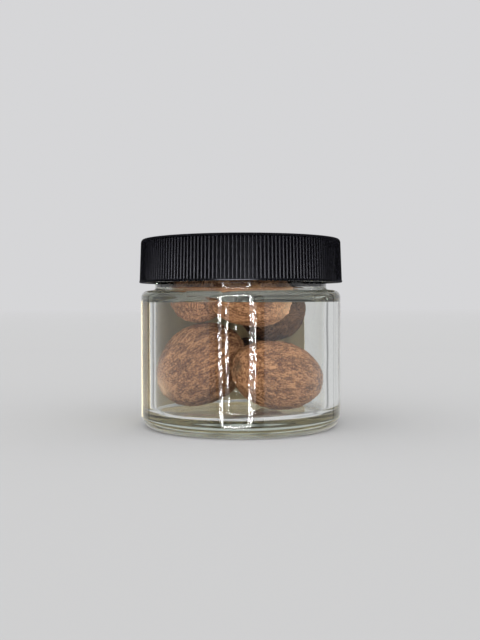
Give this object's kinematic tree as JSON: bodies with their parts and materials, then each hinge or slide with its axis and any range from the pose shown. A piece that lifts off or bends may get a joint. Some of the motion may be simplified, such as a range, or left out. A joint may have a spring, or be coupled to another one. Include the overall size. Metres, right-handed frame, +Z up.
{
  "type": "jar of whole nutmegs",
  "caption": "Small straight-sided clear glass jar with a ribbed black screw cap and a bare paper label round its back, holding whole nutmegs; it stands on its foot.",
  "frame": {"origin": "centre of the jar's foot, on the surface it stands on", "axes": "+Z up along the jar's axis; -Y is the front, where the bare glass shows the nutmegs; the label is round the back"},
  "size_m": [0.0576, 0.0576, 0.0528],
  "materials": {
    "clear_glass": "clear, faintly grey-green flint glass, polished",
    "black_cap": "satin black moulded plastic, finely ribbed",
    "liner_foam": "pale closed-cell foam",
    "label_paper": "uncoated cream paper, bare of print",
    "nutmeg": "matte brown kernel with fine wavy furrows and paler ridges"
  },
  "bodies": {
    "root": {"jar": "clear_glass", "cap": "black_cap", "liner": "liner_foam", "label": "label_paper", "nutmeg_low_right": "nutmeg", "nutmeg_low_left": "nutmeg", "nutmeg_low_back": "nutmeg", "nutmeg_top_left": "nutmeg", "nutmeg_top_front": "nutmeg", "nutmeg_top_back": "nutmeg"}
  },
  "joints": []
}
